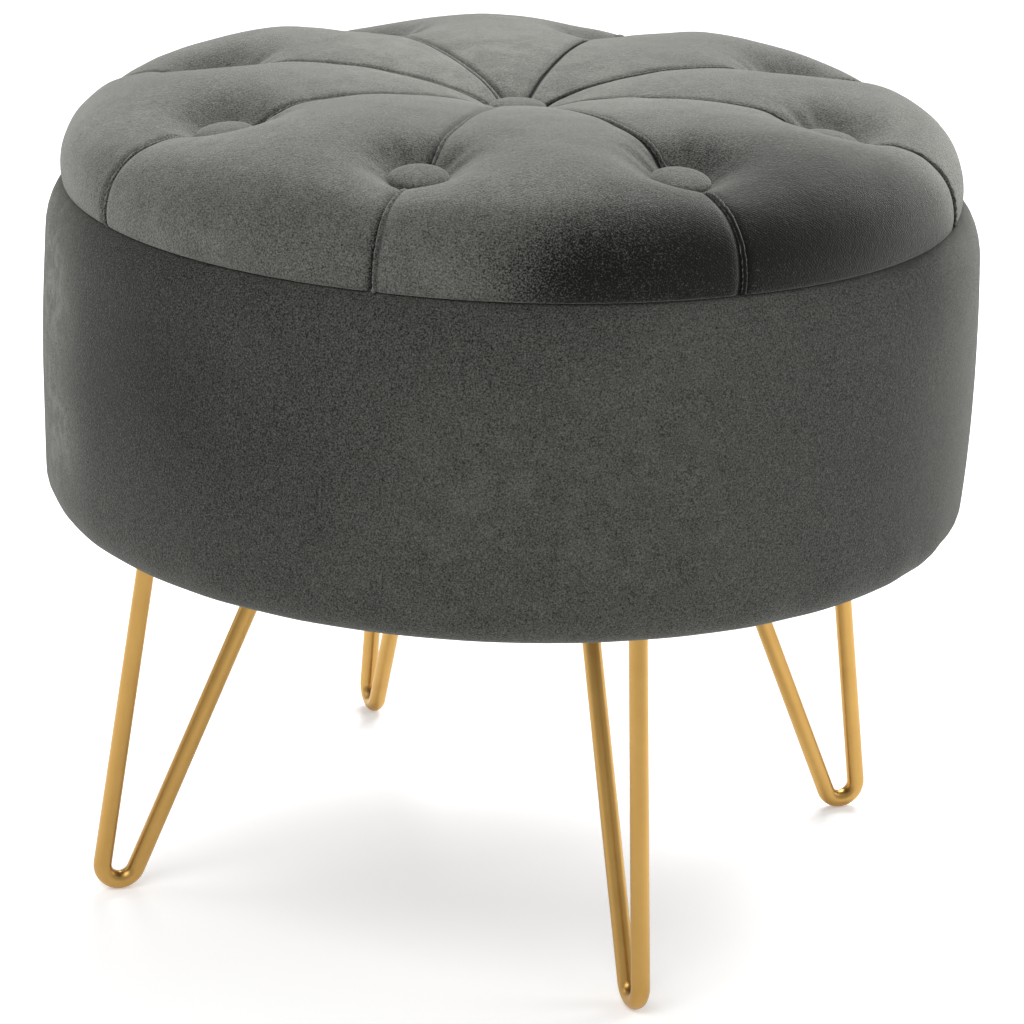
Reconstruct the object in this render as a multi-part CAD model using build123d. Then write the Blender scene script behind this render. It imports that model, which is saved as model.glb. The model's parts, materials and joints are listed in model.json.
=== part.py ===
from build123d import *
import math

# Round storage ottoman: an upholstered drum on four hairpin legs, with a loose cushioned lid
# that lifts off. Millimetres, +Z up. The origin is on the floor under the drum's axis, and
# the legs stand on the X and Y axes.

# ---- driving dimensions ----
DRUM_R = 240.0          # widest radius of the drum, over the velvet
DRUM_LOW = 203.5        # underside of the drum
RIM_Z = 371.5           # top of the drum, where the lid rests
VELVET = 1.8            # thickness of the covering cloth with its pile
LINING = 0.8            # thickness of the non-woven lining
LOW_CORNER = (12.0, 20.0)   # width and height of the rounded lower edge
SHOULDER = (16.0, 27.0)     # width and height of the rounded upper edge
EDGE_MARGIN = 212.0     # cloth folded under the drum reaches in to here
RIM_MARGIN = 222.0      # cloth folded over the rim reaches in to here

WALL_R = 233.0          # outside of the bent plywood wall
WALL_T = 9.0
WALL_TOP = 362.0
BOARD_T = 15.0          # base board
BOARD_EDGE = 6.0        # softened lower edge of the base board
RIM_RING_T = 15.0       # plywood hoop inside the top of the wall
OPENING_R = 211.0       # hole in that hoop

DUST_EDGE = 226.0       # radius of the dust cover
STAPLES = 32
STAPLE_RING = 220.0     # circle that the staples stand on
STAPLE = (10.0, 1.2, 0.5)   # crown length, wire width and thickness
STAPLE_LEG = 7.0

LEGS = 4
ROD_R = 4.75
BEND_R = 9.4            # centreline radius of the foot's bend
FOOT_R = 207.8          # foot's distance from the axis
OUTER_TOP_R = 191.3     # where the outer rod meets its plate
INNER_TOP_R = 117.7     # where the inner rod meets its plate
PLATE = (93.0, 44.0, 3.0)
PLATE_CORNER = 6.0
PLATE_R = 152.5         # middle of the leg plate
WELD = (2.6, 3.0)       # how far the weld bead spreads, and its height
ROD_OVERRUN = 1.1       # the rods are drawn this many times their length, then cut off flush
BOLT_RADII = (137.0, 172.0)
BOLT_SIDE = 13.0        # bolts stand this far each side of the leg's plane
BOLT_R = 3.0
BOLT_SHORT = 2.0        # end of a bolt below the top of the board
BOLT_HEAD = (5.3, 3.3, 2.2)     # radius, height and rounding
BOLT_SOCKET = (2.3, 2.0)        # radius and depth of the hexagon
NUT_FLANGE = (9.5, 1.5)     # radius and thickness
NUT_BARREL = (4.1, 11.3)    # radius and height below the top of the board
NUT_PRONG = (1.2, 2.6, 6.0)
NUT_PRONGS = 3
THREAD_GAP = 0.05

LID_GAP = 0.3           # lid above the rim
LID_CLOCK = 8.2         # first lid seam, in degrees round from +X
PETALS = 8
SEAM_ANGLE = 0.05       # hairline between neighbouring wedges, in degrees
CROWN = (               # radius, height over the lid's lower edge, outward direction in degrees
    (0.0, 52.5, 90.0),
    (90.0, 56.0, 90.0),
    (150.0, 56.4, 87.0),
    (192.0, 48.7, 72.0),
    (216.0, 38.6, 55.0),
    (228.0, 26.6, 30.0),
    (232.8, 12.0, 0.0),
    (230.5, 0.0, -12.0),
)
LID_MARGIN = 175.0      # cloth folded under the lid reaches in to here
LID_BOARD = (226.0, 12.0)   # radius and thickness
LOCATOR = (202.2, 12.0)     # disc that keeps the lid in the opening: radius and thickness
SCREW_RING = 168.0      # circle that the lid's screws stand on
SCREW_R = 2.0
SCREW_LONG = 22.0
SCREW_HEAD = (4.5, 2.5, 1.6)    # radius, height and rounding
SCREW_SLOT = (4.6, 1.0, 1.4)    # length, width and depth of the cross

BUTTON_R = 15.0
BUTTON_H = 7.0
BUTTON_ROUND = (2.2, 2.2)   # radius of a button's back edge and the level of its widest part
BUTTON_RING = 163.0     # circle that the outer buttons stand on
BUTTON_LOW = 31.5       # back of an outer button over the lid's lower edge
CENTRE_LOW = 34.7       # back of the middle button over the lid's lower edge
SHANK = (2.5, 6.0)      # radius and length of a button's shank
SHANK_GAP = 0.4
DIMPLE = (15.6, 52.0, 29.0) # floor radius, mouth radius and height of the hollow at a button
DIMPLE_INSET = 0.3      # how much of the cloth's thickness the hollow's radius gives way
WASHER = (10.0, 1.3)
TWINE_R = 1.0
TWINE_GAP = 0.2         # round the twine in its washer, and below its end
TWINE_HOLE_R = 2.0
CUT = 1.0               # a cutting solid passes this far beyond the face that it opens

# ---- levels worked out from them ----
BOARD_LOW = DRUM_LOW + VELVET
BOARD_TOP = BOARD_LOW + BOARD_T
RING_TOP = RIM_Z - VELVET
RING_LOW = RING_TOP - RIM_RING_T
WALL_IN = WALL_R - WALL_T
LINED_R = WALL_IN - LINING
DUST_LOW = BOARD_LOW - LINING
PLATE_LOW = DUST_LOW - PLATE[2]
FOOT_Z = BEND_R + ROD_R
LID_Z = RIM_Z + LID_GAP
LID_BOARD_LOW = LID_Z + VELVET
LOCATOR_LOW = LID_Z - LOCATOR[1]
LID_LOW = LOCATOR_LOW - LINING


# ---- small helpers ----
def turned(outline, arc=360.0):
    """Turn a closed outline, drawn as radius and height, about the drum's axis."""
    return revolve(Plane.XZ * make_face(outline), Axis.Z, arc)


def turned_polygon(*corners):
    return turned(Polyline(*corners, close=True))


def disc(radius, low, high):
    return Pos(0, 0, (low + high) / 2) * Cylinder(radius, high - low)


def ring(inner, outer, low, high):
    return disc(outer, low, high) - disc(inner, low, high)


def around(piece, count, first=0.0):
    """Evenly spaced copies of a piece about the drum's axis."""
    return [Rot(0, 0, first + 360 * k / count) * piece for k in range(count)]


def group(pieces):
    return Compound(children=list(pieces))


def bored(blank, pins):
    """Cut a list of pins out of a blank."""
    for pin in pins:
        blank = blank - pin
    return blank


def pins_at(places, radius, low, high):
    return [Pos(x, y, 0) * disc(radius, low, high) for x, y in places]


# ---- drum ----
def drum_form(inset=0.0):
    """Solid of the covered drum, with its rounded lower edge and shoulder."""
    wide = DRUM_R - inset
    low = DRUM_LOW + inset
    high = RIM_Z - inset
    corner_w, corner_h = LOW_CORNER[0] - inset, LOW_CORNER[1] - inset
    shoulder_w, shoulder_h = SHOULDER[0] - inset, SHOULDER[1] - inset
    corner_at = (wide - corner_w, low + corner_h)
    shoulder_at = (wide - shoulder_w, high - shoulder_h)
    outline = Polyline((wide - shoulder_w, high), (0, high), (0, low), (wide - corner_w, low))
    outline += EllipticalCenterArc(corner_at, corner_w, corner_h, 270, arc_size=90)
    outline += Line((wide, corner_at[1]), (wide, shoulder_at[1]))
    outline += EllipticalCenterArc(shoulder_at, shoulder_w, shoulder_h, 0, arc_size=90)
    return turned(outline)


def side_cover():
    shell = drum_form() - drum_form(VELVET)
    shell -= disc(EDGE_MARGIN, DRUM_LOW - CUT, BOARD_TOP)
    return shell - disc(RIM_MARGIN, RING_LOW, RIM_Z + CUT)


def wall_foam():
    pad = drum_form(VELVET) - disc(WALL_R, BOARD_LOW - CUT, WALL_TOP)
    return pad - disc(WALL_IN, WALL_TOP - CUT, RIM_Z)


def bolt_places():
    """Bolt centres of the four leg plates."""
    places = []
    for k in range(LEGS):
        angle = math.radians(360 / LEGS * k)
        for out in BOLT_RADII:
            for side in (-BOLT_SIDE, BOLT_SIDE):
                x = out * math.cos(angle) - side * math.sin(angle)
                y = out * math.sin(angle) + side * math.cos(angle)
                places.append((x, y))
    return places


def base_board():
    board = disc(WALL_R, BOARD_LOW, BOARD_TOP)
    board = fillet(board.edges().sort_by(Axis.Z)[0], BOARD_EDGE)
    board = bored(board, pins_at(bolt_places(), NUT_BARREL[0], BOARD_LOW, BOARD_TOP))
    return bored(board, pins_at(bolt_places(), NUT_FLANGE[0], BOARD_TOP - NUT_FLANGE[1], BOARD_TOP))


def tee_nut():
    flange_low = BOARD_TOP - NUT_FLANGE[1]
    nut = disc(NUT_FLANGE[0], flange_low, BOARD_TOP)
    nut += disc(NUT_BARREL[0], BOARD_TOP - NUT_BARREL[1], BOARD_TOP)
    prong = Box(*NUT_PRONG, align=(Align.CENTER, Align.CENTER, Align.MAX))
    for copy in around(Pos(NUT_FLANGE[0] - NUT_PRONG[0], 0, flange_low) * prong, NUT_PRONGS):
        nut += copy
    return nut - disc(BOLT_R + THREAD_GAP, BOARD_LOW, BOARD_TOP)


def leg_bolt():
    """Button-head bolt, head downward, with a hexagon socket."""
    radius, height, rounding = BOLT_HEAD
    socket_r, socket_deep = BOLT_SOCKET
    head = disc(radius, PLATE_LOW - height, PLATE_LOW)
    head = fillet(head.edges().sort_by(Axis.Z)[0], rounding)
    socket = extrude(Pos(0, 0, PLATE_LOW - height) * RegularPolygon(socket_r, 6), socket_deep)
    return head + disc(BOLT_R, PLATE_LOW, BOARD_TOP - BOLT_SHORT) - socket


def dust_cover():
    """Black cloth under the base board, laid over the folded edge of the velvet."""
    cloth = turned_polygon(
        (0, BOARD_LOW), (EDGE_MARGIN, BOARD_LOW), (EDGE_MARGIN, DRUM_LOW), (DUST_EDGE, DRUM_LOW),
        (DUST_EDGE, DRUM_LOW - LINING), (EDGE_MARGIN - LINING, DRUM_LOW - LINING),
        (EDGE_MARGIN - LINING, DUST_LOW), (0, DUST_LOW))
    return bored(cloth, pins_at(bolt_places(), BOLT_R, DUST_LOW - CUT, BOARD_TOP))


def staple():
    """One staple across the edge of the dust cover, legs upward."""
    long, wide, thick = STAPLE
    low = DRUM_LOW - LINING - thick
    crown = Pos(0, 0, low + thick / 2) * Box(wide, long, thick)
    for side in (-1, 1):
        y = side * (long - thick) / 2
        crown += Pos(0, y, low + STAPLE_LEG / 2) * Box(wide, thick, STAPLE_LEG)
    return Pos(STAPLE_RING, 0, 0) * crown


def wall_lining():
    """Inner lining: up the wall, under and round the hoop, and onto the rim."""
    face = OPENING_R - LINING
    return turned_polygon(
        (WALL_IN, BOARD_TOP), (WALL_IN, RING_LOW), (OPENING_R, RING_LOW), (OPENING_R, RING_TOP),
        (RIM_MARGIN, RING_TOP), (RIM_MARGIN, RING_TOP + LINING), (face, RING_TOP + LINING),
        (face, RING_LOW - LINING), (LINED_R, RING_LOW - LINING), (LINED_R, BOARD_TOP))


# ---- legs ----
def tangent_point(top_r, side):
    """Where the straight rod from the plate meets the foot's bend, on one side of it."""
    across = top_r - FOOT_R
    up = PLATE_LOW - FOOT_Z
    turn = math.acos(BEND_R / math.hypot(across, up))
    angle = math.atan2(up, across) + side * turn
    return (FOOT_R + BEND_R * math.cos(angle), FOOT_Z + BEND_R * math.sin(angle))


def beyond(start, top_r):
    """The rod's line carried on a little above the plate's underside."""
    across, up = top_r - start[0], PLATE_LOW - start[1]
    return (start[0] + ROD_OVERRUN * across, start[1] + ROD_OVERRUN * up)


def hairpin():
    """One steel rod bent into a narrow V that points down and outward, with its weld beads."""
    outer = tangent_point(OUTER_TOP_R, -1)
    inner = tangent_point(INNER_TOP_R, 1)
    line = Line(beyond(outer, OUTER_TOP_R), outer)
    line += ThreePointArc(outer, (FOOT_R, FOOT_Z - BEND_R), inner)
    line += Line(inner, beyond(inner, INNER_TOP_R))
    path = Plane.XZ * line
    section = Plane(origin=path @ 0, z_dir=path % 0) * Circle(ROD_R)
    rod = sweep(section, path)
    for top_r in (OUTER_TOP_R, INNER_TOP_R):
        bead = Cone(ROD_R, ROD_R + WELD[0], WELD[1], align=(Align.CENTER, Align.CENTER, Align.MAX))
        rod += Pos(top_r, 0, PLATE_LOW) * bead
    return rod - disc(2 * DRUM_R, PLATE_LOW, RIM_Z)


def leg_plate():
    long, wide, thick = PLATE
    outline = Pos(PLATE_R, 0, PLATE_LOW) * RectangleRounded(long, wide, PLATE_CORNER)
    places = [(out, side) for out in BOLT_RADII for side in (-BOLT_SIDE, BOLT_SIDE)]
    return bored(extrude(outline, thick), pins_at(places, BOLT_R, PLATE_LOW - CUT, DUST_LOW + CUT))


# ---- lid ----
def crown_point(spot, inset):
    radius, height, lean = spot
    lean = math.radians(lean)
    return (max(0.0, radius - inset * math.cos(lean)), LID_Z + height - inset * math.sin(lean))


def lid_form(inset=0.0, arc=360.0):
    """Solid under the lid's crowned top, down to its lower edge."""
    points = [crown_point(spot, inset) for spot in CROWN]
    last = math.radians(CROWN[-1][2])
    crown = Spline(*points, tangents=((1, 0), (math.sin(last), -math.cos(last))))
    edge_r, edge_z = points[-1]
    outline = crown + Polyline((edge_r, edge_z), (0, edge_z), points[0])
    return turned(outline, arc)


def button_places():
    """Each button's centre and the level of its back: the middle one, then the ring."""
    places = [(0.0, 0.0, LID_Z + CENTRE_LOW)]
    for k in range(PETALS):
        angle = math.radians(LID_CLOCK + 360 / PETALS * k)
        x = BUTTON_RING * math.cos(angle)
        y = BUTTON_RING * math.sin(angle)
        places.append((x, y, LID_Z + BUTTON_LOW))
    return places


def dimples(inset=0.0):
    """Hollows that the tufting pulls into the cushion, one at each button."""
    floor_r, mouth_r, height = DIMPLE
    give = DIMPLE_INSET * inset
    cone = Cone(floor_r + give, mouth_r + give, height,
                align=(Align.CENTER, Align.CENTER, Align.MIN))
    return [Pos(x, y, low - inset) * cone for x, y, low in button_places()]


def shank_bores():
    radius = SHANK[0] + SHANK_GAP
    return [Pos(x, y, 0) * disc(radius, LID_Z, low) for x, y, low in button_places()]


def lid_core():
    """Everything inside the velvet: foam and board together."""
    core = lid_form(VELVET) - disc(DRUM_R, RIM_Z, LID_BOARD_LOW)
    return bored(core, dimples(VELVET))


def lid_panel(core):
    """One velvet wedge of the lid, turned under the board at its wide end."""
    wedge = Rot(0, 0, LID_CLOCK) * lid_form(arc=360 / PETALS - SEAM_ANGLE)
    wedge = bored(wedge, dimples())
    wedge -= disc(LID_MARGIN, RIM_Z, LID_BOARD_LOW)
    return bored(wedge - core, shank_bores())


def lid_foam(core):
    board = disc(LID_BOARD[0], LID_BOARD_LOW, LID_BOARD_LOW + LID_BOARD[1])
    return bored(core - board, shank_bores())


def screw_places():
    angles = [math.radians(LID_CLOCK + 360 / PETALS * (k + 0.5)) for k in range(PETALS)]
    return [(SCREW_RING * math.cos(a), SCREW_RING * math.sin(a)) for a in angles]


def lid_board():
    top = LID_BOARD_LOW + LID_BOARD[1]
    board = disc(LID_BOARD[0], LID_BOARD_LOW, top)
    tufts = [(x, y) for x, y, low in button_places()]
    board = bored(board, pins_at(tufts, TWINE_HOLE_R, LID_Z, top + CUT))
    return bored(board, pins_at(screw_places(), SCREW_R, LID_Z, LID_LOW + SCREW_LONG))


def button():
    """A covered button standing on its back, with the shank that the twine ties to."""
    shank_r, shank_long = SHANK
    low_r, rise = BUTTON_ROUND
    outline = Polyline((0, BUTTON_H), (0, -shank_long), (shank_r, -shank_long), (shank_r, 0),
                       (BUTTON_R - low_r, 0))
    outline += EllipticalCenterArc((BUTTON_R - low_r, rise), low_r, rise, 270, arc_size=90)
    outline += Spline((BUTTON_R, rise), (0, BUTTON_H), tangents=((0, 1), (-1, 0)))
    return turned(outline)


def washers():
    plain = ring(TWINE_R + TWINE_GAP, WASHER[0], LID_BOARD_LOW - WASHER[1], LID_BOARD_LOW)
    return [Pos(x, y, 0) * plain for x, y, low in button_places()]


def twines():
    return [Pos(x, y, 0) * disc(TWINE_R, LID_Z + TWINE_GAP, low - SHANK[1])
            for x, y, low in button_places()]


def locator():
    blank = disc(LOCATOR[0], LOCATOR_LOW, LID_Z)
    return bored(blank, pins_at(screw_places(), SCREW_R, LOCATOR_LOW - CUT, LID_Z + CUT))


def lid_lining():
    """Cup of lining cloth over the locator's underside and edge."""
    cup = disc(LOCATOR[0] + LINING, LID_LOW, LID_Z) - disc(LOCATOR[0], LOCATOR_LOW, LID_Z)
    return bored(cup, pins_at(screw_places(), SCREW_R, LID_LOW - CUT, LOCATOR_LOW + CUT))


def lid_screw():
    """Round-head screw, driven upward, with a cross slot."""
    radius, height, rounding = SCREW_HEAD
    long, wide, deep = SCREW_SLOT
    head = disc(radius, LID_LOW - height, LID_LOW)
    head = fillet(head.edges().sort_by(Axis.Z)[0], rounding)
    cross = Rectangle(long, wide) + Rectangle(wide, long)
    slot = extrude(Pos(0, 0, LID_LOW - height) * cross, deep)
    return head + disc(SCREW_R, LID_LOW, LID_LOW + SCREW_LONG) - slot


# ---- the nodes ----
core = lid_core()
panel = lid_panel(core)
nodes = {
    "side_cover": side_cover(),
    "wall_foam": wall_foam(),
    "drum_wall": ring(WALL_IN, WALL_R, BOARD_TOP, WALL_TOP),
    "rim_ring": ring(OPENING_R, WALL_IN, RING_LOW, RING_TOP),
    "base_board": base_board(),
    "wall_lining": wall_lining(),
    "floor_lining": disc(LINED_R, BOARD_TOP, BOARD_TOP + LINING),
    "dust_cover": dust_cover(),
    "cover_staples": group(around(staple(), STAPLES, 360 / STAPLES / 2)),
    "leg_bolts": group(Pos(x, y, 0) * leg_bolt() for x, y in bolt_places()),
    "tee_nuts": group(Pos(x, y, 0) * tee_nut() for x, y in bolt_places()),
    "lid_foam": lid_foam(core),
    "lid_board": lid_board(),
    "lid_locator": locator(),
    "lid_lining": lid_lining(),
    "lid_screws": group(Pos(x, y, 0) * lid_screw() for x, y in screw_places()),
    "tufting_washers": group(washers()),
    "tufting_twines": group(twines()),
}
for side, (pin, plate) in zip(("right", "back", "left", "front"),
                              zip(around(hairpin(), LEGS), around(leg_plate(), LEGS))):
    nodes[f"hairpin_{side}"] = pin
    nodes[f"leg_plate_{side}"] = plate
for k, wedge in enumerate(around(panel, PETALS), 1):
    nodes[f"lid_panel_{k}"] = wedge
for k, (x, y, low) in enumerate(button_places()):
    name = "button_centre" if k == 0 else f"button_{k}"
    nodes[name] = Pos(x, y, low) * button()

for name, shape in nodes.items():
    export_step(shape, f"parts/{name}.step")
print(len(nodes), "parts written")
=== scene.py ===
# %% [markdown]
# # A round storage ottoman in velvet
#
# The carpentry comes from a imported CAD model: the board, hoops, screws and bent steel legs are
# already in their places. This notebook gives it its soft goods and its finishes: a tufted lid
# of eight velvet wedges, covered buttons, a padded drum, linings, gold plating and birch ply.
# Everything is in metres, with the floor at zero and the drum's axis on Z.

# %% Load the frame
import json
import math

import bpy
import numpy as np
from mathutils import Matrix, Vector, noise


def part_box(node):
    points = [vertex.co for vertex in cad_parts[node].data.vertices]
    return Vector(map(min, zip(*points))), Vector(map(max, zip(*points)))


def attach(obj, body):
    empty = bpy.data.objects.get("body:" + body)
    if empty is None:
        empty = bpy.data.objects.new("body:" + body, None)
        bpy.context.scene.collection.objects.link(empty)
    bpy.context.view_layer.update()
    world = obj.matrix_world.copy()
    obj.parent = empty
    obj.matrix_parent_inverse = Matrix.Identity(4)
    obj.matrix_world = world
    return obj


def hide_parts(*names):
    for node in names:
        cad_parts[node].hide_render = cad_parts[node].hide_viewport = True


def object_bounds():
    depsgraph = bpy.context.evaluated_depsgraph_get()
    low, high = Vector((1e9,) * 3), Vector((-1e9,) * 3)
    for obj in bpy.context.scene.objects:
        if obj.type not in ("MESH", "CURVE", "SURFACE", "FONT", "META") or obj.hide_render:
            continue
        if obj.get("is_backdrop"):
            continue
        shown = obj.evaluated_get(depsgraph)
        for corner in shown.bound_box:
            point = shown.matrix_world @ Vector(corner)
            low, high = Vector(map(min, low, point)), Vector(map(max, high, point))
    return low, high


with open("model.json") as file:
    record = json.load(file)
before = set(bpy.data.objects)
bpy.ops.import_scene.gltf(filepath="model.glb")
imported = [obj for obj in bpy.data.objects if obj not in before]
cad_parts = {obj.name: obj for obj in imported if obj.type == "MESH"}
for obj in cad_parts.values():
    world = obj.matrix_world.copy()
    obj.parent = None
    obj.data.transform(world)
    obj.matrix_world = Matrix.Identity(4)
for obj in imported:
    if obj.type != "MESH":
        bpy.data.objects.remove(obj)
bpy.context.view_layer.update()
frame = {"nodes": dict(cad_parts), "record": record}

# %% [markdown]
# ## Measures taken from the frame
#
# A cover fits the thing it covers, so its sizes are read from the boards and panels under it.
# Millimetres are handier than metres for upholstery, so MM turns one into the other.

# %% Measures
MM = 0.001
drum_low, drum_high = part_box("side_cover")
drum_r = (drum_high.x - drum_low.x) / 2
rim_z = drum_high.z
lid_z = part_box("lid_panel_1")[0].z
lid_board_low, lid_board_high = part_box("lid_board")
wall_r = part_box("drum_wall")[1].x
wall_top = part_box("drum_wall")[1].z
board_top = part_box("base_board")[1].z
board_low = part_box("base_board")[0].z
hoop_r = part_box("rim_ring")[1].x
hoop_low, hoop_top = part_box("rim_ring")[0].z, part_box("rim_ring")[1].z


def middle(node):
    """Centre of a CAD node's box."""
    low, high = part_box(node)
    return (low + high) / 2


button_names = ["button_centre"] + [f"button_{k}" for k in range(1, 9)]
button_spots = [middle(name) for name in button_names]
tuft_ring = math.hypot(button_spots[1].x, button_spots[1].y)
lid_clock = math.atan2(button_spots[1].y, button_spots[1].x)
WEDGES = 8
WEDGE = 2 * math.pi / WEDGES
print(f"drum radius {drum_r:.4f}, rim at {rim_z:.4f}, tufts on a circle of {tuft_ring:.4f}")

# %% [markdown]
# The front of an ottoman is wherever its owner sits. Here it is the side that faces the camera,
# so places that matter to the eye, such as a brushed patch of painted light or shade, or a lamp,
# are given from there.

# %% Which way is front
VIEW_AZIMUTH = math.radians(-20.7)
right = Vector((math.cos(VIEW_AZIMUTH), math.sin(VIEW_AZIMUTH), 0))
away_flat = Vector((-math.sin(VIEW_AZIMUTH), math.cos(VIEW_AZIMUTH), 0))


def beside(side, ahead, height):
    """A place so far to the viewer's right, away from the viewer, and up."""
    return right * side + away_flat * ahead + Vector((0, 0, height))


print("right is", [round(v, 3) for v in right])

# %% [markdown]
# ## Shader maths as plain arithmetic
#
# A procedural finish is mostly sums of noises. A wrapped socket lets such a sum be written as
# `base + 0.3 * grain`: each operator adds the Math node that it stands for. Every other node
# comes from `Finish.node`, which takes its settings first and then its input values or links.


# %% Wires and finishes
class Wire:
    """An output socket that understands plus, minus, times and the Math node's functions."""

    def __init__(self, finish, socket):
        self.finish = finish
        self.socket = socket

    def maths(self, operation, *values):
        """The result of one Math node on these values."""
        inputs = dict(enumerate(values))
        return self.finish.node("ShaderNodeMath", {"operation": operation}, inputs)["Value"]

    def __add__(self, other):
        return self.maths("ADD", self, other)

    def __sub__(self, other):
        return self.maths("SUBTRACT", self, other)

    def __rsub__(self, other):
        return self.maths("SUBTRACT", other, self)

    def __mul__(self, other):
        return self.maths("MULTIPLY", self, other)

    def clamp(self):
        """Held between 0 and 1."""
        return self.maths("MINIMUM", self.maths("MAXIMUM", self, 0.0), 1.0)

    __radd__ = __add__
    __rmul__ = __mul__


class Node:
    """A shader node whose outputs are read by name as wires."""

    def __init__(self, finish, node):
        self.finish = finish
        self.node = node

    def __getitem__(self, name):
        return Wire(self.finish, self.node.outputs[name])


# the Mix node's colour sockets share their names with its plain ones, so they go by number
MIX_FACTOR, MIX_FIRST, MIX_SECOND, MIX_RESULT = 0, 6, 7, 2


class Finish:
    """A material being wired. Even values go straight on the shader's own sockets."""

    def __init__(self, name, **even):
        self.material = bpy.data.materials.new(name)
        self.material.use_nodes = True
        self.tree = self.material.node_tree
        self.shader = self.tree.nodes["Principled BSDF"]
        for socket, value in even.items():
            self.shader.inputs[socket.replace("_", " ")].default_value = value
        self.place = self.node("ShaderNodeTexCoord")["Object"]

    def node(self, kind, settings=None, inputs=None):
        """Add a node, with its settings and then its input values or links."""
        made = self.tree.nodes.new(kind)
        for name, value in (settings or {}).items():
            setattr(made, name, value)
        for key, value in (inputs or {}).items():
            if isinstance(value, Wire):
                self.tree.links.new(value.socket, made.inputs[key])
            else:
                made.inputs[key].default_value = value
        return Node(self, made)

    def feed(self, socket, wire):
        """Link a wire to one of the shader's own sockets."""
        self.tree.links.new(wire.socket, self.shader.inputs[socket])

    def noise(self, scale, detail=2.0, rough=0.5, warp=0.0, at=None):
        """Noise from 0 to 1 with about that many lumps to the metre."""
        inputs = {"Vector": at or self.place, "Scale": scale, "Detail": detail}
        inputs.update({"Roughness": rough, "Distortion": warp})
        return self.node("ShaderNodeTexNoise", inputs=inputs)["Fac"]

    def stretched(self, along):
        """The place, squeezed or stretched along its axes."""
        inputs = {"Vector": self.place, "Scale": along}
        return self.node("ShaderNodeMapping", inputs=inputs)["Vector"]

    def step(self, wire, low, high):
        """0 below low, 1 above high and smooth between them."""
        inputs = {"Value": wire, "From Min": low, "From Max": high}
        settings = {"interpolation_type": "SMOOTHSTEP"}
        return self.node("ShaderNodeMapRange", settings, inputs)["Result"]

    def blend(self, amount, first, second):
        """Colour between two colours or colour wires."""
        settings = {"data_type": "RGBA", "clamp_factor": True}
        inputs = {MIX_FACTOR: amount, MIX_FIRST: first, MIX_SECOND: second}
        made = self.node("ShaderNodeMix", settings, inputs)
        return Wire(self, made.node.outputs[MIX_RESULT])

    def bump(self, height, depth):
        """Raise the surface by height, in parts of depth metres."""
        inputs = {"Height": height, "Distance": depth, "Strength": 1.0}
        self.feed("Normal", self.node("ShaderNodeBump", inputs=inputs)["Normal"])


# %% [markdown]
# ## Velvet
#
# Velvet is a cut pile standing on a woven ground. Seen along the pile it is dark, because the
# light is lost between the hairs. Seen across it, the hair tips catch the light: that is the
# sheen, which lights up every edge that turns away. Two things are drawn over it. The pile is
# pushed about by hands, which leaves soft lighter patches. And the ground's fine diagonal rows
# show through wherever the cloth is pulled tight. Each piece also carries a nap of painted light
# and shade: lighter and ragged where its pile is taken as stroked up, darker where it is taken as
# laid down, put where the lamps would light the cloth or leave it in shade, and darker along seams.


# %% Velvet
GREY = (1.0, 1.02, 0.92)
# lumps to the metre: hair tips, bunches of hair, ragged nap, patches left by hands, woven rows
PILE, BUNCHES, RAGS, PATCHES, ROWS = 1250.0, 380.0, 75.0, 11.0, 290.0
# how light the pile is on the whole, and how far hair, bunches and rags take it from there
EVEN_LIGHT = 0.36
PILE_SHOWS, BUNCHES_SHOW, RAGS_SHOW = 2.2, 0.16, 0.1
# what is left of raised nap's painted light between its rags, and what the rags add, on the most
# torn cloth
TORN_AWAY, TORN_ADDS = 0.9, 1.9


def grey(value):
    """The velvet's slightly green grey at a given brightness."""
    return (value * GREY[0], value * GREY[1], value * GREY[2], 1.0)


def velvet(name, patchiness, rows, torn, shadow, bright, sheen):
    """Grey velvet: brushed patches, woven rows, how ragged raised nap's painted light is, colours
    and sheen. Each piece's nap adds painted light and shade to the colour.
    """
    f = Finish(
        name,
        Roughness=0.9,
        Specular_IOR_Level=0.1,
        Sheen_Weight=sheen,
        Sheen_Roughness=0.42,
        Sheen_Tint=(0.98, 1.0, 0.93, 1.0),
    )
    pile = f.noise(PILE, 3.0, 0.7)
    bunches = f.noise(BUNCHES, 2.0, 0.6)
    ragged = f.noise(RAGS, 5.0, 0.7, 0.6)
    brushed = f.step(f.noise(PATCHES, 4.0, 0.62, 1.2), 0.47, 0.66)
    # the nap attribute is painted light above zero and painted shade below it, added to the colour
    nap_painted_light_and_shade = f.node("ShaderNodeAttribute", {"attribute_name": "nap_painted_light_and_shade"})["Fac"]
    raised, laid = nap_painted_light_and_shade.maths("MAXIMUM", nap_painted_light_and_shade, 0.0), nap_painted_light_and_shade.maths("MINIMUM", nap_painted_light_and_shade, 0.0)
    between, rags = 1.0 - TORN_AWAY * torn, TORN_ADDS * torn
    raised = raised * (between + rags * f.step(ragged, 0.43, 0.6))
    nap_painted_light_and_shade = raised + laid * (0.8 + 0.4 * ragged)
    ground = f.node(
        "ShaderNodeTexWave",
        {"wave_type": "BANDS", "bands_direction": "DIAGONAL"},
        {"Vector": f.place, "Scale": ROWS, "Distortion": 3.0, "Detail": 3.0, "Detail Scale": 3.0},
    )["Fac"]
    light = EVEN_LIGHT + PILE_SHOWS * (pile - 0.5) + BUNCHES_SHOW * (bunches - 0.5)
    light = light + RAGS_SHOW * (ragged - 0.5) + nap_painted_light_and_shade
    light = light + patchiness * brushed * (0.6 + 0.8 * (bunches - 0.5)) + rows * (ground - 0.5)
    f.feed("Base Color", f.blend(light.clamp(), shadow, bright))
    f.bump(0.6 * pile + 0.35 * bunches + 1.5 * rows * ground, 0.7 * MM)
    return f.material


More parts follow.
